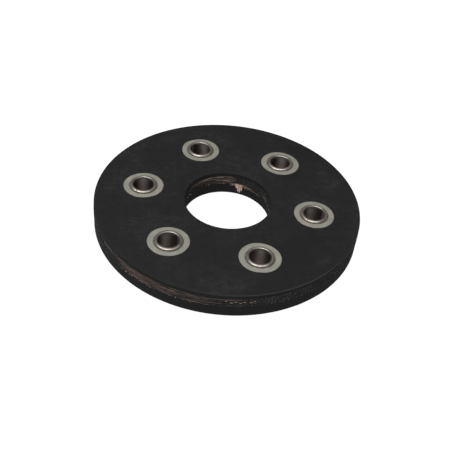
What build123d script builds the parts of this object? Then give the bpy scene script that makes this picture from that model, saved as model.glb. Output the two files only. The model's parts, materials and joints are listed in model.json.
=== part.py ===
"""Flexible disc coupling: a cord-reinforced rubber disc that joins two three-armed shaft flanges.

The disc is a vulcanised laminate. A thin upper cover and a thick lower cover of rubber hold four plies of
parallel textile cord between them. It is punched to a ring, so that the cut edges of the plies show at the rim
and in the centre hole. Six steel sleeves stand on one bolt circle. Each sleeve passes through the laminate and
through a washer let in flush with each face, and both of its ends are flared into the washers' countersinks and
rolled over to a rounded lip that stands proud of the rubber. The flange arms bear on those lips.

Frame: millimetres, +Z along the coupling's axis. The origin is on that axis, in the plane of the lower lips,
on which the coupling lies. Sleeve 1 is on the +X axis, and the numbers run anticlockwise seen from above.
"""

from build123d import *

import os

# Laminated disc
disc_diameter = 130.0
centre_hole_diameter = 42.5
upper_cover_thickness = 2.0
lower_cover_thickness = 5.7
ply_count = 4
ply_thickness = 1.2
cover_edge_radius = 0.3  # on the four edges where the covers meet the rim and the centre hole
ply_edge_radius = 0.25  # each cut ply is a shallow ridge with a groove on both sides

# Sleeves
sleeve_count = 6
bolt_circle_diameter = 85.0
sleeve_bore_diameter = 10.4  # clears a 10 mm bolt
sleeve_wall = 1.2
lip_height = 1.0  # above the rubber face
lip_overhang = 0.35  # beyond the outside of the tube
lip_inner_radius = 0.45  # the tighter of the lip's two rounds, at the mouth of the bore
lip_land_width = 0.2  # the flat on the crest that a flange arm bears on

# Washers
washer_diameter = 20.0
washer_thickness = 1.2
washer_edge_radius = 0.25
groove_width = 0.2  # between the lip and the 45 degree countersink, at the washer's face
washer_clearance = 0.1  # round the sleeve

# Torn tongue of the lowest ply, folded down over the wall of the centre hole
tongue_angle = 83.5  # round the axis from +X, in degrees
tongue_width = 4.2
tongue_length = 4.2  # from the ply down to the tip
tongue_long_side = 2.4  # straight side, from the ply down to where the taper starts
tongue_short_side = 0.2
tongue_tip_width = 0.6
tongue_tip_offset = 0.7  # from the middle, towards the long side
tongue_thickness = 0.5
tongue_stand_out = 0.15  # from the wall of the centre hole

rim_radius = disc_diameter / 2
hole_radius = centre_hole_diameter / 2
bolt_circle_radius = bolt_circle_diameter / 2
sleeve_bore_radius = sleeve_bore_diameter / 2
sleeve_outside_radius = sleeve_bore_radius + sleeve_wall
lip_radius = sleeve_outside_radius + lip_overhang
countersink_radius = lip_radius + groove_width
washer_radius = washer_diameter / 2

lower_face = lip_height
plies_low = lower_face + lower_cover_thickness
plies_high = plies_low + ply_count * ply_thickness
upper_face = plies_high + upper_cover_thickness
middle = (lower_face + upper_face) / 2

sleeve_places = PolarLocations(bolt_circle_radius, sleeve_count)


def turned(section, height=0.0):
    """A solid turned about Z from a section drawn as (radius, height)."""
    return Pos(0, 0, height) * revolve(Plane.XZ * section, Axis.Z)


def layer(low, high, low_edge_radius=0.0, high_edge_radius=0.0):
    """One layer of the laminate: a ring with rounded edges, bored for the sleeves."""
    width, thickness = rim_radius - hole_radius, high - low
    section = Pos(hole_radius + width / 2, thickness / 2) * Rectangle(width, thickness)
    if low_edge_radius:
        section = fillet(section.vertices().group_by(Axis.Y)[0], low_edge_radius)
    if high_edge_radius:
        section = fillet(section.vertices().group_by(Axis.Y)[-1], high_edge_radius)
    bore = Pos(0, 0, middle) * Cylinder(sleeve_outside_radius, upper_face - lower_face)
    return turned(section, low) - [place * bore for place in sleeve_places]


def washer_pockets(face, inward):
    """The shallow pockets that let the washers in flush with one face. inward is +1 for up."""
    pocket = Pos(0, 0, face + inward * washer_thickness / 2) * Cylinder(washer_radius, washer_thickness)
    return [place * pocket for place in sleeve_places]


def tongue():
    """The torn tongue: a strip with one long and one short side that tapers to a tip, curved to the wall."""
    root = plies_low + ply_thickness / 2
    tip = plies_low - tongue_length
    half, half_tip = tongue_width / 2, tongue_tip_width / 2
    outline = make_face(
        Polyline(
            (-half, root),
            (half, root),
            (half, plies_low - tongue_long_side),
            (tongue_tip_offset + half_tip, tip),
            (tongue_tip_offset - half_tip, tip),
            (-half, plies_low - tongue_short_side),
            close=True,
        )
    )
    strip = extrude(Plane.XZ * outline, -rim_radius)
    inner, outer = hole_radius - tongue_stand_out, hole_radius - tongue_stand_out + tongue_thickness
    wall_section = Pos((inner + outer) / 2, middle) * Rectangle(outer - inner, upper_face - lower_face)
    return Rot(0, 0, tongue_angle - 90) * (strip & turned(wall_section))


def upper_cover():
    edge_radius = min(cover_edge_radius, upper_cover_thickness * 0.9)
    return layer(plies_high, upper_face, high_edge_radius=edge_radius) - washer_pockets(upper_face, -1)


def lower_cover():
    edge_radius = min(cover_edge_radius, lower_cover_thickness * 0.9)
    cover = layer(lower_face, plies_low, low_edge_radius=edge_radius)
    return cover - washer_pockets(lower_face, 1) - tongue()


def cord_ply(number):
    """Ply 1 is the lowest."""
    low = plies_low + (number - 1) * ply_thickness
    edge_radius = min(ply_edge_radius, ply_thickness * 0.45)
    ply = layer(low, low + ply_thickness, edge_radius, edge_radius)
    return ply + tongue() if number == 1 else ply


def sleeve():
    """A tube whose two ends flare into the washers and are rolled to a rounded lip."""
    face = (upper_face - lower_face) / 2
    crest = face + lip_height
    half_outline = [
        (sleeve_bore_radius, crest),
        (lip_radius, crest),
        (lip_radius, face - (countersink_radius - lip_radius)),
        (sleeve_outside_radius, face - (countersink_radius - sleeve_outside_radius)),
    ]
    mirrored = [(radius, -height) for radius, height in reversed(half_outline)]
    section = make_face(Polyline(*half_outline, *mirrored, close=True))
    lip_outer_radius = lip_radius - sleeve_bore_radius - lip_inner_radius - lip_land_width
    for end in (0, -1):
        inner_corner = section.vertices().group_by(Axis.Y)[end].sort_by(Axis.X)[0]
        section = fillet(inner_corner, lip_inner_radius)
        outer_corner = section.vertices().group_by(Axis.Y)[end].sort_by(Axis.X)[-1]
        section = fillet(outer_corner, lip_outer_radius)
    return turned(section, middle)


def washer():
    """A flat washer with a 45 degree countersink for the sleeve's flare, its upper face at height 0."""
    hole = sleeve_outside_radius + washer_clearance / 2
    section = make_face(
        Polyline(
            (hole, -washer_thickness),
            (washer_radius, -washer_thickness),
            (washer_radius, 0),
            (countersink_radius, 0),
            (hole, hole - countersink_radius),
            close=True,
        )
    )
    corner = section.vertices().sort_by(Axis.X)[-2:].sort_by(Axis.Y)[-1]
    return turned(fillet(corner, min(washer_edge_radius, washer_thickness * 0.9)))


def write(name, solid):
    solid.label = name
    export_step(solid, f"parts/{name}.step")


os.makedirs("parts", exist_ok=True)

write("upper_cover", upper_cover())
write("lower_cover", lower_cover())
for number in range(1, ply_count + 1):
    write(f"cord_ply_{number}", cord_ply(number))

plain_sleeve, plain_washer = sleeve(), washer()
for number, place in enumerate(sleeve_places, start=1):
    write(f"sleeve_{number}", place * plain_sleeve)
    write(f"upper_washer_{number}", place * Pos(0, 0, upper_face) * plain_washer)
    write(f"lower_washer_{number}", place * Pos(0, 0, lower_face) * Rot(180, 0, 0) * plain_washer)
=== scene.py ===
"""Looks for a flexible disc coupling: a punched ring of rubber and cord with six rolled steel sleeves.

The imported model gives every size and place. The laminate, the sleeves and the washers are remade here as
finer meshes of the same form, with what the solids leave out: cut cords at the walls, rubber that crept over
the washers as the disc was cured, rolled lips with their seams, loose threads and a torn flap of cord.
Lengths are in millimetres until a mesh or an object is made.
"""

import json
import math
import random

import bpy
from mathutils import Matrix, Vector, noise
from mathutils.geometry import delaunay_2d_cdt

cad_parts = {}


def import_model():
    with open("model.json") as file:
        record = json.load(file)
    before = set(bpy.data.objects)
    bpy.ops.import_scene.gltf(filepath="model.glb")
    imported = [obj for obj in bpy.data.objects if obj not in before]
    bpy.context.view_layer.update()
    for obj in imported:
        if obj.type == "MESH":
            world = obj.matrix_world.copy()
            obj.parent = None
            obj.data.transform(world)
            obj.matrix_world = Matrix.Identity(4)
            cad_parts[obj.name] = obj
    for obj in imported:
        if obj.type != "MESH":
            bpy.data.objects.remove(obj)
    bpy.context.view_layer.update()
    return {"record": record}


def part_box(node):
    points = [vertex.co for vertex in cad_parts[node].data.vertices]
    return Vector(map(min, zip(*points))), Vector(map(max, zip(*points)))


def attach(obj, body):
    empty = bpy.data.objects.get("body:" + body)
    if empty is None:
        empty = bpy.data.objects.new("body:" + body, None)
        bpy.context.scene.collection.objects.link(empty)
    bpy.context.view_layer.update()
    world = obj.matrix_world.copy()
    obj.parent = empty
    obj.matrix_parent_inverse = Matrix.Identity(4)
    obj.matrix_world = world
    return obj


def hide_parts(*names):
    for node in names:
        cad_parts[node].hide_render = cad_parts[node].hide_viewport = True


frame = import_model()

MM = 0.001
SLEEVES = range(1, 7)
PLIES = range(1, 5)


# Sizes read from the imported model

def node_box(node):
    """Lowest and highest corner of a node, in millimetres."""
    low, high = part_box(node)
    return Vector(low) / MM, Vector(high) / MM


def mount_size(mount_name, size_name):
    mounts = {mount["name"]: mount for mount in frame["record"]["mounts"]}
    return mounts[mount_name]["dims"][size_name]


HOLE = mount_size("centre_hole", "r_mm")
SLEEVE_BORE = mount_size("bolt_circle", "hole_r_mm")
RIM = node_box("cord_ply_2")[1].x
UPPER_FACE = node_box("upper_cover")[1].z
PLIES_HIGH = node_box("upper_cover")[0].z
PLIES_LOW = node_box("lower_cover")[1].z
LOWER_FACE = node_box("lower_cover")[0].z
MIDDLE = (LOWER_FACE + UPPER_FACE) / 2

sleeve_low, sleeve_high = node_box("sleeve_1")
LIP = (sleeve_high.y - sleeve_low.y) / 2
LIP_HEIGHT = sleeve_high.z - UPPER_FACE
washer_low, washer_high = node_box("upper_washer_1")
WASHER = (washer_high.y - washer_low.y) / 2
WASHER_THICKNESS = washer_high.z - washer_low.z
PLY_THICKNESS = (PLIES_HIGH - PLIES_LOW) / len(PLIES)

sleeve_boxes = {number: node_box(f"sleeve_{number}") for number in SLEEVES}
SLEEVE_AXES = {number: (low + high) / 2 for number, (low, high) in sleeve_boxes.items()}

# Radii of the sleeves and washers that the boxes can't give
TUBE = 6.4  # outside of a sleeve, between its lips
LIP_INNER_ROLL = 0.45
LIP_OUTER_ROLL = 0.9
FLARE = 6.95  # where the countersink meets the washer's face
WASHER_HOLE = TUBE + 0.05
WASHER_EDGE = 0.25

# Cord plies: the directions of each ply's cords, in degrees from +X, at the rim and, dragged askew by the
# punch, at the centre hole
RIM_CORDS = {1: -18, 2: -10, 3: -16, 4: -8}
HOLE_CORDS = {1: 27, 2: 34, 3: 25, 4: 31}
CORD_PITCH = 1.05
CORD_RADIUS = 0.44

# Stretches of wall where the rubber is off the cords: from and to in degrees, how bare plies 1 to 4 are
RIM_BARE = [
    (-143, -127, (0.05, 0.15, 0.30, 0.50)),
    (-129, -103, (0.75, 0.90, 0.95, 0.80)),
    (-106, -86, (0.40, 0.45, 0.50, 0.55)),
    (-88, -76, (0.0, 0.05, 0.15, 0.40)),
]
HOLE_BARE = [
    (128, 158, (0.08, 0.28, 0.45, 0.55)),
    (88, 132, (0.65, 0.90, 1.00, 0.85)),
    (66, 88, (0.10, 0.0, 0.0, 0.0)),
    (26, 42, (0.12, 0.25, 0.15, 0.0)),
]


# Building closed meshes from loops of points

def on_circle(radius, turn, height, centre=(0, 0)):
    return (centre[0] + radius * math.cos(turn), centre[1] + radius * math.sin(turn), height)


def turns(count):
    return [math.tau * step / count for step in range(count)]


def past(turn, degrees):
    """How far a turn lies past a direction in degrees, in radians from minus to plus half a turn."""
    return (turn - math.radians(degrees) + math.pi) % math.tau - math.pi


def wobble(x, y, z, size, seed=0.0):
    """Smooth noise from -1 to 1 whose bumps are about size millimetres."""
    return noise.noise(Vector((x / size + seed, y / size - seed, z / size + 0.37 * seed)))


def add_object(name, data):
    """A new object in the scene, at the origin."""
    made = bpy.data.objects.new(name, data)
    bpy.context.scene.collection.objects.link(made)
    return made


class Shell:
    """A closed surface under construction, with named values at its points.
    finish is the place, in the list of materials, of the one that new faces take."""

    def __init__(self):
        self.points = []
        self.faces = []
        self.face_finish = []
        self.values = {}
        self.finish = 0

    def loop(self, points):
        start = len(self.points)
        self.points.extend(points)
        return list(range(start, len(self.points)))

    def add_face(self, corners):
        self.faces.append(corners)
        self.face_finish.append(self.finish)

    def band(self, lower, upper):
        """Quads between two closed loops with as many points."""
        for here in range(len(lower)):
            after = (here + 1) % len(lower)
            self.add_face((lower[here], lower[after], upper[after], upper[here]))

    def bands(self, loops):
        for lower, upper in zip(loops, loops[1:]):
            self.band(lower, upper)

    def sheet(self, outline, holes, fill=(), upward=True):
        """Triangles between an outline and the holes in it, through the fill points."""
        used = [*outline, *(index for hole in holes for index in hole), *fill]
        place = {index: position for position, index in enumerate(used)}
        flat = [Vector(self.points[index][:2]) for index in used]
        rings = [[place[index] for index in ring] for ring in (outline, *holes)]
        _, _, faces, sources, _, rings_around = delaunay_2d_cdt(flat, [], rings, 1, 1e-6)
        for face, around in zip(faces, rings_around):
            if set(around) != {0}:  # inside a hole, and not only inside the outline
                continue
            corners = [used[sources[corner][0]] for corner in face]
            self.add_face(tuple(corners if upward else reversed(corners)))

    def build(self, name, materials, sharp_above=38):
        mesh = bpy.data.meshes.new(name)
        mesh.from_pydata([tuple(value * MM for value in point) for point in self.points], [], self.faces)
        for value_name, values in self.values.items():
            mesh.attributes.new(value_name, "FLOAT", "POINT").data.foreach_set("value", values)
        for material in materials:
            mesh.materials.append(material)
        mesh.polygons.foreach_set("material_index", self.face_finish)
        mesh.polygons.foreach_set("use_smooth", [True] * len(self.faces))
        mesh.set_sharp_from_angle(angle=math.radians(sharp_above))
        mesh.update()
        return add_object(name, mesh)


def dress(piece, slot, *nodes):
    """The piece stands for these nodes, which it hides. slot is not used."""
    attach(piece, "root")
    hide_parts(*nodes)


# Shader helpers

class Nodes:
    """Short calls for making and joining the nodes of one tree."""

    def __init__(self, tree):
        self.tree = tree

    def add(self, kind, inputs=None, **settings):
        node = self.tree.nodes.new(kind)
        for setting, value in settings.items():
            setattr(node, setting, value)
        for socket, value in (inputs or {}).items():
            self.put(node.inputs[socket], value)
        return node

    def put(self, socket, value):
        if isinstance(value, bpy.types.NodeSocket):
            self.tree.links.new(value, socket)
        else:
            socket.default_value = value

    def math(self, operation, *values, clamp=False):
        node = self.add("ShaderNodeMath", operation=operation, use_clamp=clamp)
        for socket, value in zip(node.inputs, values):
            self.put(socket, value)
        return node.outputs[0]

    def ramp(self, value, low, high, to_low=0.0, to_high=1.0):
        """value from low to high becomes to_low to to_high, with soft ends."""
        node = self.add("ShaderNodeMapRange", interpolation_type="SMOOTHSTEP")
        for socket, number in zip(node.inputs, (value, low, high, to_low, to_high)):
            self.put(socket, number)
        return node.outputs[0]

    def mix(self, factor, one, two, blend="MIX"):
        node = self.add("ShaderNodeMix", data_type="RGBA", blend_type=blend)
        self.put(node.inputs["Factor"], factor)
        self.put(node.inputs["A"], one)
        self.put(node.inputs["B"], two)
        return node.outputs["Result"]

    def noise(self, vector, scale, detail=3.0, roughness=0.5, distortion=0.0):
        settings = {"Scale": scale, "Detail": detail, "Roughness": roughness, "Distortion": distortion}
        return self.add("ShaderNodeTexNoise", {"Vector": vector, **settings}).outputs["Fac"]

    def stretched(self, vector, scale, rotation=(0, 0, 0)):
        inputs = {"Vector": vector, "Scale": scale, "Rotation": rotation}
        return self.add("ShaderNodeMapping", inputs).outputs[0]

    def value(self, name):
        return self.add("ShaderNodeAttribute", attribute_name=name).outputs["Fac"]

    def bump(self, height, distance, strength=1.0, normal=None):
        inputs = {"Height": height, "Distance": distance, "Strength": strength}
        if normal is not None:
            inputs["Normal"] = normal
        return self.add("ShaderNodeBump", inputs).outputs["Normal"]


def colour(red, green, blue):
    """A screen colour of 0 to 255 as the linear values that sockets take."""
    return tuple(((value / 255 + 0.055) / 1.055) ** 2.4 for value in (red, green, blue)) + (1.0,)


def node_group(name, inputs, outputs, make):
    """A shader group with named sockets. make(nodes, given) returns the value of each output."""
    tree = bpy.data.node_groups.new(name, "ShaderNodeTree")
    kinds = {"v": "NodeSocketVector", "f": "NodeSocketFloat", "c": "NodeSocketColor"}
    for socket, kind in inputs:
        tree.interface.new_socket(socket, in_out="INPUT", socket_type=kinds[kind])
    for socket, kind in outputs:
        tree.interface.new_socket(socket, in_out="OUTPUT", socket_type=kinds[kind])
    nodes = Nodes(tree)
    given = nodes.add("NodeGroupInput").outputs
    results = make(nodes, given)
    end = nodes.add("NodeGroupOutput")
    for (socket, _), result in zip(outputs, results):
        nodes.put(end.inputs[socket], result)
    return tree


def material(name, make):
    """A material whose Principled BSDF takes the inputs that make(nodes, place) returns.
    place is the point on the surface, in millimetres."""
    made = bpy.data.materials.new(name)
    made.use_nodes = True
    nodes = Nodes(made.node_tree)
    shader = made.node_tree.nodes["Principled BSDF"]
    position = nodes.add("ShaderNodeTexCoord").outputs["Object"]
    place = nodes.stretched(position, (1 / MM,) * 3)
    for socket, value in make(nodes, place).items():
        nodes.put(shader.inputs[socket], value)
    return made


def cloudy_bloom(nodes, given):
    """Wax bloom and handling dust on rubber: wide soft clouds, broken by finer ones, and the rub marks."""
    wide = nodes.noise(given["Place"], 0.05, 4.0, 0.6, 0.4)
    fine = nodes.noise(given["Place"], 0.36, 6.0, 0.7)
    clouds = nodes.ramp(wide, 0.38, 0.75, 0.25, 1.0)
    mottled = nodes.ramp(fine, 0.25, 0.8)
    broken = nodes.math("MULTIPLY", nodes.math("ADD", clouds, given["Haze"]), mottled)
    specks = nodes.ramp(nodes.noise(given["Place"], 2.6, 1.0), 0.74, 0.80, 0.0, 0.6)
    dust = nodes.math("MULTIPLY", nodes.math("MAXIMUM", broken, specks), given["Amount"], clamp=True)
    return nodes.mix(dust, given["Colour"], given["Bloom Colour"]), dust


def fine_scratches(nodes, given):
    """Short hairline marks in two directions."""
    marks = 0.0
    for angle, seed in ((0.35, 0.0), (-0.9, 7.0)):
        along = nodes.stretched(given["Place"], (0.10, 1.9, 1.0), (0, 0, angle))
        lines = nodes.ramp(nodes.noise(along, 1.0, 2.0, 0.6, 0.3), 0.66, 0.70)
        patches = nodes.ramp(nodes.noise(given["Place"], 0.08 + seed * 0.004, 1.0), 0.5, 0.62)
        marks = nodes.math("MAXIMUM", nodes.math("MULTIPLY", lines, patches), marks)
    return (nodes.math("MULTIPLY", marks, given["Amount"]),)


BLOOM = node_group(
    "Cloudy bloom",
    [("Place", "v"), ("Colour", "c"), ("Bloom Colour", "c"), ("Haze", "f"), ("Amount", "f")],
    [("Colour", "c"), ("Dust", "f")],
    cloudy_bloom,
)
SCRATCHES = node_group("Fine scratches", [("Place", "v"), ("Amount", "f")], [("Marks", "f")], fine_scratches)

RUBBER_BLACK = colour(28, 28, 28)
RUBBER_EDGE = colour(19, 20, 20)
BLOOM_AND_HIGHLIGHT_GREY = colour(58, 58, 58)


def grouped(nodes, tree, **inputs):
    node = nodes.add("ShaderNodeGroup", node_tree=tree)
    for socket, value in inputs.items():
        nodes.put(node.inputs[socket.replace("_", " ")], value)
    return node.outputs


def moulded_rubber(nodes, place):
    """A cover's moulded face: matt black with grey bloom, rub marks and hairline scratches."""
    haze = nodes.value("haze")
    bloom = grouped(
        nodes, BLOOM, Place=place, Colour=RUBBER_BLACK, Bloom_Colour=BLOOM_AND_HIGHLIGHT_GREY, Haze=haze, Amount=0.5,
    )
    marks = grouped(nodes, SCRATCHES, Place=place, Amount=0.22)["Marks"]
    skin = nodes.noise(place, 3.2, 4.0, 0.6)
    height = nodes.math("SUBTRACT", skin, marks)
    return {
        "Base Color": nodes.mix(marks, bloom["Colour"], colour(74, 74, 72)),
        "Roughness": nodes.ramp(skin, 0.2, 0.8, 0.66, 0.78),
        "Specular IOR Level": 0.18,
        "Normal": nodes.bump(height, 0.03 * MM),
    }


def punched_rubber(nodes, place):
    """A cover's cut wall: blacker, with faint streaks of the punch and a painted highlight along its upper
    corner.
    """
    bloom = grouped(
        nodes, BLOOM, Place=place, Colour=RUBBER_EDGE, Bloom_Colour=BLOOM_AND_HIGHLIGHT_GREY, Haze=0.0, Amount=0.15,
    )
    streaks = nodes.noise(nodes.stretched(place, (1.0, 1.0, 0.25)), 2.4, 4.0, 0.6)
    height = nodes.add("ShaderNodeSeparateXYZ", {0: place}).outputs[2]
    # A painted highlight along the rounded upper edge, in the bloom's grey
    corner = nodes.ramp(height, UPPER_FACE - 0.28, UPPER_FACE - 0.08)
    painted_edge_highlight = nodes.math("MULTIPLY", corner, nodes.value("edge_highlight"))
    return {
        "Base Color": nodes.mix(painted_edge_highlight, bloom["Colour"], BLOOM_AND_HIGHLIGHT_GREY),
        "Roughness": nodes.ramp(streaks, 0.2, 0.8, 0.7, 0.85),
        "Specular IOR Level": 0.15,
        "Normal": nodes.bump(streaks, 0.05 * MM),
    }


def palette(nodes, value, *stops):
    """Screen colours at places from 0 to 1."""
    node = nodes.add("ShaderNodeValToRGB", {"Fac": value})
    elements = node.color_ramp.elements
    while len(elements) < len(stops):
        elements.new(0.5)
    for element, (position, shade) in zip(elements, stops):
        element.position = position
        element.color = colour(*shade)
    return node.outputs["Color"]


def cut_cord_ply(nodes, place):
    """Rubber with cut cords in it, worn down to combed cord fibre where the mesh says that it is bare."""
    x, y, height = nodes.add("ShaderNodeSeparateXYZ", {0: place}).outputs
    squares = [nodes.math("POWER", side, 2.0) for side in (x, y)]
    radius = nodes.math("SQRT", nodes.math("ADD", *squares))
    along = nodes.math("MULTIPLY", nodes.math("ARCTAN2", y, x), radius)
    wall = nodes.add("ShaderNodeCombineXYZ", {0: along, 1: height}).outputs[0]
    fibres = nodes.noise(nodes.stretched(wall, (0.16, 3.4, 1.0), (0, 0, 0.02)), 1.0, 4.0, 0.65)
    shades = nodes.noise(nodes.stretched(wall, (0.12, 1.3, 1.0)), 1.0, 2.0, 0.5)
    fuzz = nodes.noise(place, 5.0, 3.0, 0.6)
    cord = nodes.ramp(nodes.math("ADD", nodes.value("cord"), nodes.math("MULTIPLY", fuzz, 0.5)), 0.25, 0.5)
    coated = nodes.mix(nodes.math("MULTIPLY", cord, 0.40), RUBBER_EDGE, colour(58, 57, 55))
    ragged = nodes.math("ADD", nodes.value("bare"), nodes.math("SUBTRACT", fibres, 0.5))
    fibre_colour = palette(
        nodes, shades,
        (0.30, (48, 42, 40)), (0.45, (66, 57, 53)), (0.58, (60, 56, 52)), (0.72, (82, 73, 67)),
    )
    combed = nodes.mix(nodes.ramp(fibres, 0.40, 0.65), colour(34, 31, 30), fibre_colour)
    return {
        "Base Color": nodes.mix(nodes.ramp(ragged, 0.25, 0.75), coated, combed),
        "Roughness": 0.85,
        "Specular IOR Level": 0.2,
        "Normal": nodes.bump(fibres, 0.06 * MM),
    }


def bare_thread(nodes, place):
    """Cord fibre: each strand has its own tint, from grey and red-brown to cream, with stains."""
    stain = nodes.ramp(nodes.noise(place, 0.9, 3.0, 0.6), 0.4, 0.7)
    clean = palette(
        nodes, nodes.value("tint"),
        (0.0, (84, 85, 83)), (0.10, (58, 48, 45)), (0.3, (86, 76, 70)), (0.45, (92, 74, 68)),
        (0.6, (108, 98, 88)), (0.75, (146, 126, 114)), (0.88, (178, 152, 138)), (1.0, (200, 176, 160)),
    )
    return {
        "Base Color": nodes.mix(nodes.math("MULTIPLY", stain, 0.45), clean, colour(84, 70, 64)),
        "Roughness": 0.9,
        "Specular IOR Level": 0.2,
        "Normal": nodes.bump(nodes.noise(place, 7.0, 3.0, 0.6), 0.03 * MM),
    }


def dull_zinc(nodes, place):
    """Zinc plate gone dull: soft patches, faint handling marks and a darker foot at the lip, from dirt and
    painted shade in the crease.
    """
    patches = nodes.noise(place, 0.22, 4.0, 0.6, 0.5)
    tints = nodes.noise(nodes.stretched(place, (1.0, 1.0, 1.0), (0, 0, 1.0)), 0.17, 2.0, 0.5)
    grain = nodes.noise(place, 3.5, 4.0, 0.65)
    marks = grouped(nodes, SCRATCHES, Place=place, Amount=0.5)["Marks"]
    tone = nodes.mix(nodes.ramp(tints, 0.4, 0.62), colour(162, 165, 153), colour(176, 168, 159))
    shade = nodes.mix(nodes.ramp(patches, 0.35, 0.7, 0.0, 0.6), tone, colour(150, 150, 139))
    # Dirt round the washer's edge, and dirt with painted shade in the countersink against the lip, darken and
    # brown the zinc
    darkening = nodes.value("grime_and_shade")
    matt = nodes.ramp(grain, 0.2, 0.8, 0.50, 0.66)
    return {
        "Base Color": nodes.mix(darkening, shade, colour(60, 52, 45)),
        "Metallic": nodes.ramp(darkening, 0.0, 1.0, 0.5, 0.1),
        "Roughness": nodes.math("SUBTRACT", matt, nodes.math("MULTIPLY", marks, 0.15)),
        "Normal": nodes.bump(grain, 0.02 * MM),
    }


def rolled_steel(nodes, place):
    """Tube steel: polished where it was rolled over, browned in the crease by dirt and painted shade, dull
    and oily down the bore, with a lighter band of painted reflection down each bore.
    """
    draw = nodes.noise(nodes.stretched(place, (1.0, 1.0, 0.12)), 1.1, 3.0, 0.5)
    tarnish = nodes.noise(place, 0.45, 3.0, 0.6)
    bore = nodes.value("bore")
    bright = nodes.mix(nodes.ramp(tarnish, 0.35, 0.75), colour(180, 174, 168), colour(160, 148, 139))
    height = nodes.add("ShaderNodeSeparateXYZ", {0: place}).outputs[2]
    from_middle = nodes.math("ABSOLUTE", nodes.math("SUBTRACT", height, MIDDLE))
    # The lighter band in each bore, browner deeper in, is a painted reflection; the dark film covers the rest
    painted_sheen_colour = nodes.mix(nodes.ramp(from_middle, 1.0, 6.0), colour(178, 162, 153), colour(186, 182, 179))
    dull = nodes.mix(nodes.value("bore_darkness_and_sheen"), painted_sheen_colour, colour(64, 59, 56))
    shade = nodes.mix(bore, bright, dull)
    rolled = nodes.ramp(draw, 0.2, 0.8, 0.47, 0.53)
    return {
        # Browned at the lip's foot, in the crease against the washer, by dirt and painted shade
        "Base Color": nodes.mix(nodes.value("grime_and_shade"), shade, colour(78, 64, 57)),
        "Metallic": nodes.ramp(bore, 0.0, 1.0, 1.0, 0.75),
        "Roughness": nodes.math("SUBTRACT", rolled, nodes.math("MULTIPLY", bore, 0.16)),
    }


FACE_RUBBER = material("moulded_rubber_face", moulded_rubber)
EDGE_RUBBER = material("punched_rubber_edge", punched_rubber)
PLY = material("cut_cord_ply", cut_cord_ply)
THREAD = material("bare_cord_thread", bare_thread)
ZINC = material("dull_zinc_washer", dull_zinc)
STEEL = material("rolled_steel_sleeve", rolled_steel)


# Covers

FACE_STEPS = 720
SLEEVE_STEPS = 96
FACE_FINISH, WALL_FINISH = 0, 1
EDGE_ROUND = 0.3
COLLAR = 2.2  # the rubber's own mesh round a washer reaches this far out from it

# Where rubber crept furthest over a washer: sleeve, direction and spread in degrees, reach
CREEP = [
    (1, 200, 30, 0.25), (1, 20, 40, 0.15), (2, 60, 35, 0.30), (2, 250, 25, 0.35), (3, 120, 35, 0.50),
    (3, 190, 25, 0.40), (4, 130, 45, 0.45), (4, 300, 20, 0.25), (5, 100, 35, 0.30), (5, 330, 30, 0.20),
    (6, 75, 40, 0.35), (6, 280, 20, 0.25),
]


def creep(number, turn):
    """How far the rubber reaches over a washer's edge."""
    reach = 0.12
    for sleeve, direction, spread, most in CREEP:
        if sleeve == number:
            reach += most * math.exp(-((past(turn, direction) / math.radians(spread)) ** 2))
    ragged = 0.10 * wobble(9 * math.cos(turn), 9 * math.sin(turn), number, 1.3, 3.0)
    ragged += 0.05 * wobble(9 * math.cos(turn), 9 * math.sin(turn), number, 0.5, 8.0)
    return max(reach + ragged, 0.03)


def washer_well(shell, number, face, inward):
    """The pocket for a washer and the hole for its sleeve, and the loops where they meet the cover's outer
    and inner faces. inward is -1 under the upper face and 1 over the lower."""
    axis = SLEEVE_AXES[number]

    def ring(radius, depth, crept=False):
        """A loop at a depth under the face. One that crept lies further in by as much as the rubber did."""
        points = []
        for turn in turns(SLEEVE_STEPS):
            reach = creep(number, turn if inward < 0 else -turn) if crept else 0.0
            points.append(on_circle(radius - reach, turn, face + inward * depth, axis))
        return shell.loop(points)

    loops = [
        ring(WASHER + COLLAR, 0.0),
        ring(WASHER + 0.9, -0.02),
        ring(WASHER + 0.3, -0.06),
        ring(WASHER + 0.16, -0.09, crept=True),
        ring(WASHER + 0.04, -0.06, crept=True),
        ring(WASHER, -0.01, crept=True),
        ring(WASHER, 0.01),
        ring(WASHER, WASHER_THICKNESS),
        ring(TUBE, WASHER_THICKNESS),
        ring(TUBE, abs((PLIES_HIGH if inward < 0 else PLIES_LOW) - face)),
    ]
    shell.bands(loops if inward > 0 else loops[::-1])
    return loops[0], loops[-1]


# Rub marks on the upper face: middle, reach along and across, direction in degrees, strength
HAZE = [
    (50.0, 27.0, 6.0, 3.0, 60, 1.0), (44.0, 33.0, 5.0, 2.0, 80, 0.6), (-11.0, 46.5, 6.0, 2.5, 10, 0.6),
    (-38.0, 42.0, 7.0, 4.0, 40, 0.7), (-51.0, 17.0, 6.0, 3.0, 70, 0.5), (49.0, -33.5, 6.0, 2.0, 50, 0.6),
    (13.0, -58.5, 8.0, 1.5, 8, 0.5), (-17.0, -51.0, 9.0, 3.0, -15, 0.35), (-28.0, -3.5, 9.0, 0.7, 35, 0.5),
    (44.5, -24.0, 8.0, 0.7, 38, 0.5), (36.0, -32.0, 34.0, 24.0, 45, -0.6), (29.0, 52.0, 9.0, 5.0, -30, -0.7),
    (27.0, 27.0, 7.0, 4.0, 20, -0.5),
]


def haze_at(x, y):
    """How much the rubber is rubbed grey here, or cleaned where it is under 0."""
    total = 0.0
    for middle_x, middle_y, along, across, direction, strength in HAZE:
        turn = math.radians(direction)
        run = (x - middle_x) * math.cos(turn) + (y - middle_y) * math.sin(turn)
        off = (y - middle_y) * math.cos(turn) - (x - middle_x) * math.sin(turn)
        total += strength * math.exp(-((run / along) ** 2) - (off / across) ** 2)
    return total


def edge_highlight_at(x, y):
    """How strong the painted highlight along the disc's upper edge is here: most at the right of the front.
    """
    away = math.degrees(past(math.atan2(y, x), -48))
    return 0.15 + 0.75 * math.exp(-((away / 30) ** 2)) + 0.25 * wobble(x, y, 0, 9, 2.0)


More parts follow.
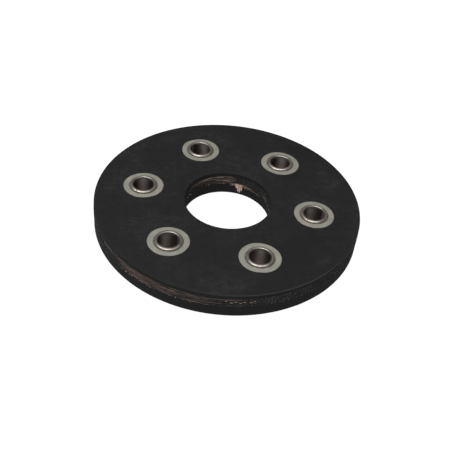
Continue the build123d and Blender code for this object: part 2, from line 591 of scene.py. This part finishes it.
def face_fill(shell, height):
    """Points spread over a face, clear of its edges and collars, that let it be a little uneven."""
    spacing = 1.5
    row_pitch = 0.87  # of the spacing
    points = []
    rows = int(RIM / (spacing * row_pitch)) + 1
    for row in range(-rows, rows + 1):
        for column in range(-rows - 2, rows + 3):
            x = (column + 0.5 * (row % 2)) * spacing
            y = row * spacing * row_pitch
            if not HOLE + 2.0 < math.hypot(x, y) < RIM - 2.0:
                continue
            gaps = [math.hypot(x - axis.x, y - axis.y) for axis in SLEEVE_AXES.values()]
            if min(gaps) > WASHER + COLLAR + 0.8:
                uneven = 0.05 * wobble(x, y, height, 16) + 0.02 * wobble(x, y, height, 5)
                points.append((x, y, height + uneven))
    return shell.loop(points)


def cover_wall(radius, low, high, outward, round_low, round_high):
    """Radius and height from the bottom to the top of a cover's wall, with its exposed edge rounded."""
    arc = [math.radians(angle) for angle in (90, 67, 45, 22, 0)]
    edge = [(EDGE_ROUND * (1 - math.cos(angle)), EDGE_ROUND * (1 - math.sin(angle))) for angle in arc]
    rows = [(inset, low + rise) for inset, rise in edge] if round_low else [(0.0, low)]
    rows += [(0.0, low + (high - low) * share) for share in (0.3, 0.5, 0.7)]
    rows += [(inset, high - drop) for inset, drop in reversed(edge)] if round_high else [(0.0, high)]
    return [(radius - outward * inset, height) for inset, height in rows]


def cover(name, low, high, upper):
    shell = Shell()
    walls = {}
    shell.finish = WALL_FINISH
    for side, radius, outward, steps in (("rim", RIM, 1, FACE_STEPS), ("hole", HOLE, -1, FACE_STEPS // 2)):
        rows = []
        for row_radius, height in cover_wall(radius, low, high, outward, not upper, upper):
            points = []
            for turn in turns(steps):
                x, y, z = on_circle(row_radius, turn, height)
                cut = 0.03 * wobble(x, y, z, 9) + 0.015 * wobble(x, y, z * 0.4, 1.5)
                points.append(on_circle(row_radius + cut - 0.03 * outward, turn, height))
            rows.append(shell.loop(points))
        shell.bands(rows if outward > 0 else rows[::-1])
        walls[side] = rows
    shell.finish = FACE_FINISH
    face = high if upper else low
    wells = [washer_well(shell, number, face, -1 if upper else 1) for number in SLEEVES]
    outer_row, inner_row = (-1, 0) if upper else (0, -1)
    outer_holes = [walls["hole"][outer_row], *(well[0] for well in wells)]
    inner_holes = [walls["hole"][inner_row], *(well[1] for well in wells)]
    shell.sheet(walls["rim"][outer_row], outer_holes, face_fill(shell, face), upward=upper)
    shell.sheet(walls["rim"][inner_row], inner_holes, upward=not upper)
    shell.values["haze"] = [haze_at(x, y) if upper else 0.0 for x, y, _ in shell.points]
    shell.values["edge_highlight"] = [edge_highlight_at(x, y) for x, y, _ in shell.points]
    dress(shell.build(name, [FACE_RUBBER, EDGE_RUBBER]), "cover_rubber", name)


# Cord plies

RIM_STEPS = 1800
HOLE_STEPS = 640
PLY_ROWS = 10


def bareness(stretches, turn, ply):
    """How much rubber is off one ply's cords here, from 0 to 1."""
    most = 0.0
    for start, end, amounts in stretches:
        half = (end - start) / 2
        away = math.degrees(past(turn, start + half))
        most = max(most, amounts[ply - 1] * math.exp(-((away / half) ** 6)))
    return most


def cord_at(x, y, z, ply, direction, middle):
    """How deep a point lies in the nearest cord: 1 in its middle and under 0 in the rubber."""
    across = y * math.cos(direction) - x * math.sin(direction) + 0.12 * wobble(x, y, ply * 9, 14)
    number = round(across / CORD_PITCH)
    lift = 0.09 * wobble(number * 3.1, ply * 5.3, 0, 1) + 0.07 * wobble(x, y, ply * 4, 6)
    return 1 - math.hypot(across - number * CORD_PITCH, z - middle - lift) / CORD_RADIUS


def ply_wall(shell, ply, radius, outward, steps, stretches, low, high):
    """The cut edge of a ply: a shallow ridge where cords stand out and, where they are bare, combed lines."""
    direction = math.radians((RIM_CORDS if outward > 0 else HOLE_CORDS)[ply])
    rows = []
    for row in range(PLY_ROWS + 1):
        height = low + (high - low) * row / PLY_ROWS
        edge = abs(2 * row / PLY_ROWS - 1)
        groove = 0.22 * edge ** 5
        points = []
        for turn in turns(steps):
            x, y, z = on_circle(radius, turn, height)
            depth = cord_at(x, y, z, ply, direction, (low + high) / 2)
            bare = bareness(stretches, turn, ply)
            lines = wobble(radius * turn * 0.12 + 40 * outward, z * 2.8, ply * 5, 1)
            stand = -groove + 0.06 * max(depth, -0.4) * (1 - bare) + bare * (0.14 * lines - 0.08)
            points.append(on_circle(radius + outward * min(stand, 0.04), turn, height))
            shell.values["cord"].append(depth)
            shell.values["bare"].append(bare)
        rows.append(shell.loop(points))
    shell.bands(rows if outward > 0 else rows[::-1])
    return rows


def cord_ply(ply):
    name = f"cord_ply_{ply}"
    low = PLIES_LOW + (ply - 1) * PLY_THICKNESS
    high = low + PLY_THICKNESS
    shell = Shell()
    shell.values = {"cord": [], "bare": []}
    rim = ply_wall(shell, ply, RIM, 1, RIM_STEPS, RIM_BARE, low, high)
    hole = ply_wall(shell, ply, HOLE, -1, HOLE_STEPS, HOLE_BARE, low, high)
    lower_holes, upper_holes = [], []
    for axis in SLEEVE_AXES.values():
        for height, holes in ((low, lower_holes), (high, upper_holes)):
            holes.append(shell.loop([on_circle(TUBE, turn, height, axis) for turn in turns(SLEEVE_STEPS)]))
        shell.band(upper_holes[-1], lower_holes[-1])
    shell.sheet(rim[-1], [hole[-1], *upper_holes])
    shell.sheet(rim[0], [hole[0], *lower_holes], upward=False)
    for numbers in shell.values.values():
        numbers.extend([0.0] * (len(shell.points) - len(numbers)))
    dress(shell.build(name, [PLY], sharp_above=180), "cord_ply", name)


# Strands, loose threads and the torn flap of the lowest ply

dice = random.Random(5)


def strand(shell, path, thickness, tint):
    """A tube along a path, finer at both ends."""
    path = [Vector(point) for point in path]
    last = len(path) - 1
    loops = []
    for step, point in enumerate(path):
        along = (path[min(step + 1, last)] - path[max(step - 1, 0)]).normalized()
        side = along.cross(Vector((point.x, point.y, 0.01))).normalized()
        up = along.cross(side)
        radius = thickness / 2 * min(1.0, 0.4 + 2.4 * min(step, last - step) / last)
        loops.append(shell.loop([point + radius * (side * math.cos(a) + up * math.sin(a)) for a in turns(6)]))
    shell.bands(loops)
    shell.add_face(tuple(reversed(loops[0])))
    shell.add_face(tuple(loops[-1]))
    tints = shell.values.setdefault("tint", [])
    tints.extend([tint] * (len(shell.points) - len(tints)))


def wall_path(radius, outward, start, length, height, rise=0.0, lift=0.03):
    """Points along a wall from a direction in degrees, with a slow waver."""
    steps = max(3, round(length / 0.7))
    seed = dice.uniform(0, 90)
    points = []
    for step in range(steps + 1):
        run = length * step / steps
        turn = math.radians(start) + run / radius
        waver = 0.07 * wobble(run, seed, 0, 3.5)
        stand = lift + 0.05 * wobble(run, 0, seed, 2.5)
        points.append(on_circle(radius + outward * stand, turn, height + rise * run + waver))
    return points


def combed_strands(shell, radius, outward, stretches, tints):
    """Strands that lie along the wall where the rubber is off, in three lines a ply. tints gives each
    ply's range."""
    lines = 3
    for ply in PLIES:
        middle = PLIES_LOW + (ply - 0.5) * PLY_THICKNESS
        for line in range(lines):
            height = middle + ((line + 0.5) / lines - 0.5) * PLY_THICKNESS * 0.72
            for start, end, amounts in stretches:
                place = start + dice.uniform(0, 6)
                while place < end:
                    length = dice.uniform(2.5, 9.0)
                    if dice.random() < 0.75 * amounts[ply - 1]:
                        path = wall_path(radius, outward, place, length, height, dice.uniform(-0.03, 0.03))
                        strand(shell, path, dice.uniform(0.11, 0.20), dice.uniform(*tints[ply - 1]))
                    place += math.degrees(length * dice.uniform(0.8, 1.3) / radius)


def cut_ends(shell, radius, outward, start, end, chance):
    """Oblique ends of cords, still coated with rubber, that show as short slanting strokes."""
    for ply in PLIES:
        middle = PLIES_LOW + (ply - 0.5) * PLY_THICKNESS
        place = start + 0.4 * ply
        while place < end:
            lean = 0.3 if wobble(place, 2, 0, 9) > -0.1 else -0.3
            if dice.random() < chance * (0.55 + 0.9 * wobble(place, ply * 5, 3, 6)):
                points = []
                for step in (-1, 0, 1):
                    stand = 0.03 - 0.10 * abs(step)
                    turn = math.radians(place) + outward * lean * step / radius
                    points.append(on_circle(radius + outward * stand, turn, middle + 0.42 * step))
                strand(shell, points, dice.uniform(0.16, 0.26), 0.0)
            place += math.degrees(1.4 * dice.uniform(0.92, 1.08) / radius)


def fringe(shell, radius, outward, start, end, count, longest):
    """Short frayed ends that hang from the lowest ply."""
    for _ in range(count):
        turn = math.radians(dice.uniform(start, end))
        length = longest * dice.uniform(0.3, 1.0)
        lean = dice.uniform(-0.7, 0.7)
        points = []
        for step in range(4):
            share = step / 3
            stand = 0.05 + 0.35 * length * share * share * dice.uniform(0.3, 1.0)
            height = PLIES_LOW + 0.25 - length * share
            points.append(on_circle(radius + outward * stand, turn + lean * length * share / radius, height))
        strand(shell, points, dice.uniform(0.10, 0.2), dice.uniform(0.2, 0.95))


# Tufts where the bare cords end at the rim: direction in degrees, height over the lowest ply's foot
RIM_TUFTS = [(-81, 3.4), (-79, 2.5), (-77.5, 3.0), (-75.5, 2.2), (-74, 2.9), (-71.5, 2.6), (-70, 3.3)]

# Cord ends that hang beside the torn flap: direction in degrees, length below the lowest ply, tint
HANGING_ENDS = [
    (94.6, 0.9, 0.0), (92.6, 1.3, 0.0), (90.6, 1.1, 0.6), (77.0, 1.3, 0.66), (74.6, 0.8, 0.5),
    (72.2, 1.3, 0.58), (69.8, 0.7, 0.42), (67.4, 1.1, 0.5), (65.0, 0.6, 0.35),
]

# Wisps on the wall of the centre hole: direction in degrees, height over the lowest ply's foot, length,
# thickness, rise for each millimetre, stand off the wall, tint
HOLE_WISPS = [
    (47, -0.7, 6.6, 0.16, 0.08, 0.12, 0.7), (59, -0.5, 3.0, 0.4, 0.10, 0.12, 0.47),
    (32, 2.0, 1.6, 0.38, 0.1, 0.08, 0.4), (35, 0.9, 1.8, 0.38, 0.1, 0.08, 0.5),
    (31, 0.3, 1.4, 0.38, 0.1, 0.08, 0.45), (23, -0.1, 1.4, 0.38, 0.1, 0.08, 0.6),
    (17, -0.4, 1.0, 0.38, 0.1, 0.08, 0.55), (157, -0.3, 1.6, 0.38, 0.1, 0.08, 0.6),
    (161, 0.6, 1.6, 0.38, 0.1, 0.08, 0.62), (165, -0.1, 1.6, 0.38, 0.1, 0.08, 0.6),
    (168, 0.7, 1.4, 0.38, 0.1, 0.08, 0.0), (9, 0.3, 1.4, 0.38, 0.1, 0.08, 0.6),
]


def hanging_end(shell, direction, drop, tint):
    """Three strands side by side that bend out of the lowest ply and hang over the wall below it."""
    for shift in (-0.8, 0.0, 0.8):
        turn = math.radians(direction + shift)
        points = []
        for step, height in enumerate((0.7, 0.3, -0.3 * drop, 0.2 - drop)):
            points.append(on_circle(HOLE - 0.12 - 0.05 * step, turn + 0.006 * step, PLIES_LOW + height))
        strand(shell, points, 0.32, tint + 0.12 * shift)


def loose_threads():
    shell = Shell()
    combed_strands(shell, RIM, 1, RIM_BARE, ((0.30, 0.66), (0.10, 0.55), (0.20, 0.60), (0.38, 0.70)))
    combed_strands(shell, HOLE, -1, HOLE_BARE, ((0.2, 0.7), (0.3, 0.9), (0.2, 0.85), (0.5, 0.95)))
    cut_ends(shell, RIM, 1, -80, -20, 1.0)
    cut_ends(shell, RIM, 1, 20, 200, 0.5)
    cut_ends(shell, HOLE, -1, 30, 88, 0.8)
    cut_ends(shell, HOLE, -1, 190, 330, 0.6)
    fringe(shell, RIM, 1, -127, -92, 34, 0.7)
    fringe(shell, HOLE, -1, 92, 140, 14, 0.5)
    for direction, height in RIM_TUFTS:
        path = wall_path(RIM, 1, direction, dice.uniform(1.0, 1.8), PLIES_LOW + height, 0.12, 0.04)
        strand(shell, path, 0.28, 0.68)
    for direction, drop, tint in HANGING_ENDS:
        hanging_end(shell, direction, drop, tint)
    for direction, height, length, thickness, rise, lift, tint in HOLE_WISPS:
        strand(shell, wall_path(HOLE, -1, direction, length, PLIES_LOW + height, rise, lift), thickness, tint)
    piece = shell.build("loose_threads", [THREAD], sharp_above=180)
    dress(piece, "cord_ply", *(f"cord_ply_{ply}" for ply in PLIES))


FLAP_MIDDLE = 83.5
FLAP_WIDTH = 4.2
FLAP_EDGE = [(0.0, 0.2), (0.55, 3.8), (0.69, 4.2), (0.8, 3.4), (1.0, 2.4)]  # share of width, length below ply


def flap_length(share):
    """Length of the flap below its ply, at a share of its width."""
    for (start, near), (end, far) in zip(FLAP_EDGE, FLAP_EDGE[1:]):
        if share <= end:
            ragged = 0.35 * wobble(share * 9, 3, 0, 1) * min(1.0, 3 * share * (1 - share) * 4)
            return near + (far - near) * (share - start) / (end - start) + ragged


def torn_flap():
    """A strip of cords torn out of the lowest ply, bent down over the wall below it."""
    shell = Shell()
    columns, rows = 36, 30
    root = 0.6  # how far up the ply the strip starts
    loops = []
    tints = []
    for row in range(rows + 1):
        front, back = [], []
        for column in range(columns + 1):
            share = column / columns
            down = (flap_length(share) + root) * row / rows
            turn = math.radians(FLAP_MIDDLE) + FLAP_WIDTH * (0.5 - share) / HOLE
            height = PLIES_LOW + root - down
            cords = 0.10 * math.cos(share * math.tau * 4.2) + 0.07 * wobble(share * 16, down * 0.35, 0, 1)
            stand = 0.24 + cords + 0.12 * wobble(share * 2, down, 0, 1.5) + 0.25 * (down / 5.5) ** 3
            if row == 0:
                stand = -0.1
            front.append(on_circle(HOLE - stand, turn, height))
            back.append(on_circle(HOLE + 0.12, turn, height))
            # The tint follows the cords' relief: paler on the ridges and darker in the grooves between them,
            # as painted light and shade
            tints.append(min(1.0, max(0.3, 0.86 + 1.8 * cords)))
        tints.extend([0.4] * (columns + 1))
        loops.append(shell.loop(front + back[::-1]))
    shell.bands(loops)
    for loop, order in ((loops[0], 1), (loops[-1], -1)):
        for column in range(columns):
            behind = 2 * columns + 1 - column
            shell.add_face((loop[column], loop[column + 1], loop[behind - 1], loop[behind])[::order])
    shell.values["tint"] = tints
    dress(shell.build("torn_flap", [THREAD], sharp_above=70), "cord_ply", "cord_ply_1")


# Sleeves and washers

LIP_STEPS = 128

# The nick in each sleeve's rolled lip: direction round its axis in degrees, size
NICKS = {1: (-118, 1.0), 2: (-104, 0.5), 3: (-101, 0.7), 4: (-112, 1.0), 5: (-96, 0.4), 6: (-86, 0.6)}

# The direction in each bore of a painted reflection, a band where the dark film is left off, in degrees round
# the sleeve's axis
PAINTED_SHEEN_DIRECTION = {1: 114, 2: 84, 3: 74, 4: 108, 5: 120, 6: 97}


def bore_oil_and_painted_sheen(number, turn, height):
    """How dark the film in a bore is, from 0 to 1: patchy, and left off in a band that is a painted
    reflection.
    """
    away = math.degrees(past(turn, PAINTED_SHEEN_DIRECTION[number]))
    streaky = 0.9 + 0.4 * wobble(3 * math.cos(turn), 3 * math.sin(turn), height, 2.5, number)
    # The band where the film is left off is a painted reflection
    clean = math.exp(-((away / 26) ** 2)) * streaky
    if abs(away) > 70:
        elsewhere = wobble(2 * math.cos(turn), 2 * math.sin(turn), 0.1 * height, 1.6, 4.0 + number)
        clean = max(clean, 0.35 + 0.5 * elsewhere)
    return min(1.0, max(0.0, 1.0 - max(clean, 0.0)))


def down_bore(radius, height):
    """1 on the wall of a bore and 0 on the sleeve's other faces, with a soft change at the upper mouth."""
    return min(1.0, max(0.0, (UPPER_FACE + 0.5 - height) / 0.8)) if radius < SLEEVE_BORE + 0.05 else 0.0


def turned_part(name, number, rows, steps, finish, slot, worked=None, more_values=None):
    """A ring-shaped solid round a sleeve's axis from a closed run of (radius, height, grime and painted
    shade).
    worked(radius, height, turn) moves a point out and up, and more_values gives further values there."""
    axis = SLEEVE_AXES[number]
    more_values = more_values or {}
    shell = Shell()
    shell.values = {value_name: [] for value_name in ("grime_and_shade", *more_values)}
    loops = []
    for radius, height, grime_and_shade in rows:
        points = []
        for turn in turns(steps):
            out, up = worked(radius, height, turn) if worked else (0.0, 0.0)
            points.append(on_circle(radius + out, turn, height + up, axis))
            speckle = 1 + 0.5 * wobble(4 * math.cos(turn), 4 * math.sin(turn), height + number, 1.1)
            shell.values["grime_and_shade"].append(min(1.0, grime_and_shade * speckle))
            for value_name, value_at in more_values.items():
                shell.values[value_name].append(value_at(radius, height, turn))
        loops.append(shell.loop(points))
    shell.bands([*loops, loops[0]])
    dress(shell.build(name, [finish], sharp_above=50), slot, name)


def arc_rows(radius, height, roll, start, end, count):
    """Points on a quarter turn of the lip, from one angle to another in its section."""
    rows = []
    for step in range(count):
        angle = math.radians(start + (end - start) * step / (count - 1))
        rows.append((radius + roll * math.cos(angle), height + roll * math.sin(angle)))
    return rows


def sleeve(number):
    """A sleeve whose half section runs from the bore's middle over the lip and down the outside, mirrored."""
    crest = UPPER_FACE + LIP_HEIGHT
    mouth = crest - LIP_INNER_ROLL
    shoulder = crest - LIP_OUTER_ROLL
    half = [(SLEEVE_BORE, MIDDLE + share * (mouth - MIDDLE)) for share in (0.0, 0.3, 0.6, 0.8, 0.93)]
    half += arc_rows(SLEEVE_BORE + LIP_INNER_ROLL, mouth, LIP_INNER_ROLL, 180, 90, 8)
    half += arc_rows(LIP - LIP_OUTER_ROLL, shoulder, LIP_OUTER_ROLL, 90, 0, 10)
    half += [(LIP, UPPER_FACE - 0.2), (TUBE, UPPER_FACE - 0.55), (TUBE, MIDDLE + 1.0)]
    upper = []
    for radius, height in half:
        # The lip's foot in the crease against the washer is darkened by dirt and painted shade
        crease = 0.35 * max(0.0, 1 - abs(height - UPPER_FACE) / 0.4) if radius > LIP - 0.3 else 0.0
        upper.append((radius, height, crease))
    lower = [(radius, 2 * MIDDLE - height, grime_and_shade) for radius, height, grime_and_shade in reversed(upper)]
    rows = lower[:-1] + upper

    nick_direction, nick_size = NICKS[number]

    def worked(radius, height, turn):
        """Small dents of the rolling tool and the nick at the seam, on both lips."""
        if LOWER_FACE < height < UPPER_FACE:
            return 0.0, 0.0
        side = 1 if height > MIDDLE else -1
        x, y = radius * math.cos(turn), radius * math.sin(turn)
        away = radius * past(turn, nick_direction)
        nick = nick_size * math.exp(-((away / 0.28) ** 2))
        rise = min(1.0, max(0.0, abs(height - MIDDLE) - (UPPER_FACE - MIDDLE)) / LIP_HEIGHT)
        out = 0.03 * wobble(x, y, number * 7, 3) if radius > SLEEVE_BORE + 0.2 else 0.0
        if radius > SLEEVE_BORE + LIP_INNER_ROLL:
            out -= 0.22 * nick * rise
        return out, -0.16 * nick * rise * side

    values = {
        "bore": lambda radius, height, turn: down_bore(radius, height),
        "bore_darkness_and_sheen": lambda radius, height, turn: bore_oil_and_painted_sheen(number, turn, height),
    }
    turned_part(f"sleeve_{number}", number, rows, LIP_STEPS, STEEL, "sleeve_steel", worked, values)


def washer(number, upper):
    """A washer with a rounded edge, browned where it meets the lip by dirt and painted shade in the crease.
    """
    face = UPPER_FACE if upper else LOWER_FACE
    side = 1 if upper else -1
    # The third number darkens the zinc: dirt underneath and round the outer edge, dirt and painted shade in
    # the countersink and the hole against the lip
    section = [
        (WASHER_HOLE, -WASHER_THICKNESS, 0.9),
        (WASHER, -WASHER_THICKNESS, 0.2),
        (WASHER, -WASHER_EDGE, 0.2),
        (WASHER - 0.07, -0.07, 0.35),
        (WASHER - WASHER_EDGE, 0.0, 0.15),
        (WASHER - 0.8, 0.0, 0.0),
        (FLARE + 0.8, 0.0, 0.02),
        (FLARE + 0.3, 0.0, 0.12),
        (FLARE + 0.1, -0.02, 0.35),
        (FLARE - 0.05, -0.08, 0.8),
        (WASHER_HOLE, WASHER_HOLE - FLARE, 1.0),
    ]
    rows = [(radius, face + side * height, grime_and_shade) for radius, height, grime_and_shade in section]
    if not upper:
        rows.reverse()
    name = f"{'upper' if upper else 'lower'}_washer_{number}"
    turned_part(name, number, rows, SLEEVE_STEPS, ZINC, "washer_zinc")


cover("upper_cover", PLIES_HIGH, UPPER_FACE, True)
cover("lower_cover", LOWER_FACE, PLIES_LOW, False)
for ply in PLIES:
    cord_ply(ply)
loose_threads()
torn_flap()
for number in SLEEVES:
    sleeve(number)
    washer(number, True)
    washer(number, False)


# Floor, light and camera

FLOOR_REACH = 3.0  # metres
FLOOR_GREY = (0.62, 0.62, 0.62, 1.0)
SHADOW_GREY = (0.14, 0.14, 0.14, 1.0)
WHITE = (1.0, 1.0, 1.0, 1.0)


def floor():
    """Plain grey to the object, and to the camera nearly white with a faint shadow."""
    mesh = bpy.data.meshes.new("floor")
    corners = [(x * FLOOR_REACH, y * FLOOR_REACH, 0) for x, y in ((-1, -1), (1, -1), (1, 1), (-1, 1))]
    mesh.from_pydata(corners, [], [(0, 1, 2, 3)])
    made = bpy.data.materials.new("pale_floor")
    made.use_nodes = True
    nodes = Nodes(made.node_tree)
    made.node_tree.nodes.clear()
    path = nodes.add("ShaderNodeLightPath").outputs
    plain = nodes.add("ShaderNodeBsdfDiffuse", {"Color": FLOOR_GREY}).outputs[0]
    shadow = nodes.add("ShaderNodeBsdfDiffuse", {"Color": SHADOW_GREY}).outputs[0]
    white = nodes.add("ShaderNodeEmission", {"Color": WHITE, "Strength": 0.955}).outputs[0]
    seen = nodes.add("ShaderNodeAddShader", {0: shadow, 1: white}).outputs[0]
    mixed = nodes.add("ShaderNodeMixShader", {0: path["Is Camera Ray"], 1: plain, 2: seen})
    nodes.add("ShaderNodeOutputMaterial", {"Surface": mixed.outputs[0]})
    mesh.materials.append(made)
    add_object("floor", mesh)


def world():
    """Soft light from all round, and white to the camera."""
    made = bpy.data.worlds.new("studio")
    made.use_nodes = True
    bpy.context.scene.world = made
    nodes = Nodes(made.node_tree)
    made.node_tree.nodes.clear()
    path = nodes.add("ShaderNodeLightPath").outputs
    seen = nodes.add("ShaderNodeBackground", {"Color": WHITE, "Strength": 1.0}).outputs[0]
    soft = nodes.add("ShaderNodeBackground", {"Color": WHITE, "Strength": 0.14}).outputs[0]
    mixed = nodes.add("ShaderNodeMixShader", {0: path["Is Camera Ray"], 1: soft, 2: seen})
    nodes.add("ShaderNodeOutputWorld", {"Surface": mixed.outputs[0]})


def direction_to(azimuth, elevation):
    """Unit vector from the disc's axis towards a direction in degrees."""
    turn, rise = math.radians(azimuth), math.radians(elevation)
    return Vector((math.cos(rise) * math.cos(turn), math.cos(rise) * math.sin(turn), math.sin(rise)))


def softbox(name, azimuth, elevation, distance, size, power):
    """A soft light that faces the middle of the disc. distance and size are in metres."""
    lamp = bpy.data.lights.new(name, "AREA")
    lamp.shape = "RECTANGLE"
    lamp.size, lamp.size_y = size
    lamp.energy = power
    light = add_object(name, lamp)
    direction = direction_to(azimuth, elevation)
    light.location = direction * distance
    light.rotation_euler = direction.to_track_quat("Z", "Y").to_euler()


VIEW_AZIMUTH = -83.9
VIEW_ELEVATION = 39.13
VIEW_DISTANCE = 382.3
VIEW_AIM = (2.47, -19.61)  # on the upper face
VIEW_ROLL = 6.06
VIEW_LENS = 62.15


def camera():
    location = Vector((0, 0, UPPER_FACE)) + direction_to(VIEW_AZIMUTH, VIEW_ELEVATION) * VIEW_DISTANCE
    facing = (Vector((*VIEW_AIM, UPPER_FACE)) - location).to_track_quat("-Z", "Y").to_matrix()
    turn = facing @ Matrix.Rotation(math.radians(VIEW_ROLL), 3, "Z")
    data = bpy.data.cameras.new("camera")
    data.sensor_width = 36.0
    data.lens = VIEW_LENS
    data.clip_start = 0.01
    view = add_object("camera", data)
    view.matrix_world = Matrix.Translation(location * MM) @ turn.to_4x4()
    bpy.context.scene.camera = view


floor()
world()
softbox("key_light", -122, 54, 1.2, (0.8, 0.5), 13)
softbox("side_light", -55, 60, 1.2, (0.5, 0.5), 5)
camera()
bpy.context.scene.view_settings.view_transform = "Standard"
